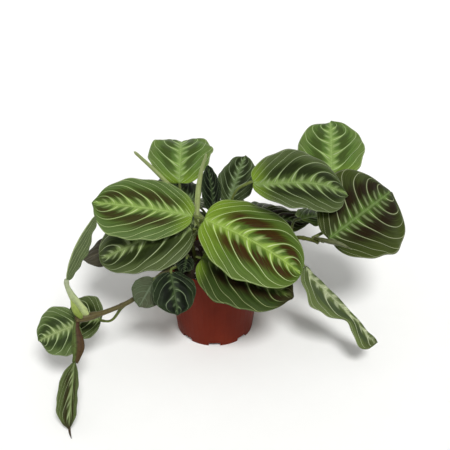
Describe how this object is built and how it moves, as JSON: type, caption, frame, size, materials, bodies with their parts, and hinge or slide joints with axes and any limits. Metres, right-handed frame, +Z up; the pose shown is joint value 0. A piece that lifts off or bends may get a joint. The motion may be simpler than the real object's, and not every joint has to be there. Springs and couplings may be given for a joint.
{
  "type": "potted prayer plant",
  "caption": "Prayer plant with broad patterned leaves on slender stalks, spreading and trailing from a small tapered plastic nursery pot with a notched foot.",
  "frame": {"origin": "centre of the pot's foot, on the surface it stands on", "axes": "+Z up, -Y towards the plant's front, where its longest leaf and its trailing shoot reach, +X to the plant's right seen from the front"},
  "size_m": [0.4207, 0.3452, 0.2313],
  "materials": {
    "pot": "satin",
    "soil": "matte",
    "stem": "satin",
    "stalk": "satin",
    "spear": "satin",
    "leaf_green": "satin",
    "leaf_lime": "satin",
    "leaf_light": "satin",
    "leaf_dark": "satin",
    "leaf_blue": "satin",
    "leaf_brown": "satin",
    "leaf_under": "satin"
  },
  "bodies": {
    "root": {"pot": "pot", "soil": "soil", "shoot_left": "stem", "shoot_front": "stem", "shoot_back": "stem", "shoot_right": "stem", "shoot_trailing": "stem", "blade_front_large": "leaf_lime", "stalk_front_large": "stalk", "blade_left_large": "leaf_lime", "stalk_left_large": "stalk", "blade_left_lower": "leaf_dark", "stalk_left_lower": "stalk", "blade_front_under": "leaf_green", "stalk_front_under": "stalk", "blade_pot_side": "leaf_blue", "stalk_pot_side": "stalk", "blade_pot_side_grey": "leaf_under", "stalk_pot_side_grey": "stalk", "blade_top_left": "leaf_light", "stalk_top_left": "stalk", "blade_back_upright": "leaf_dark", "stalk_back_upright": "stalk", "blade_back_oblique": "leaf_blue", "stalk_back_oblique": "stalk", "blade_right_mid": "leaf_dark", "stalk_right_mid": "stalk", "blade_right_under": "leaf_brown", "stalk_right_under": "stalk", "blade_top_right": "leaf_light", "stalk_top_right": "stalk", "blade_far_right": "leaf_brown", "stalk_far_right": "stalk", "blade_right_behind": "leaf_light", "stalk_right_behind": "stalk", "blade_right_hanging": "leaf_green", "stalk_right_hanging": "stalk", "blade_trail_up": "leaf_under", "stalk_trail_up": "stalk", "blade_trail_side": "leaf_green", "stalk_trail_side": "stalk", "blade_trail_back": "leaf_dark", "stalk_trail_back": "stalk", "blade_trail_down": "leaf_green", "stalk_trail_down": "stalk", "blade_left_behind": "leaf_brown", "stalk_left_behind": "stalk", "blade_left_back": "leaf_dark", "stalk_left_back": "stalk", "blade_centre_low": "leaf_blue", "stalk_centre_low": "stalk", "blade_rear_left": "leaf_green", "stalk_rear_left": "stalk", "blade_rear_middle": "leaf_dark", "stalk_rear_middle": "stalk", "blade_rear_right": "leaf_green", "stalk_rear_right": "stalk", "spear_left": "spear", "spear_right": "spear"}
  },
  "joints": []
}
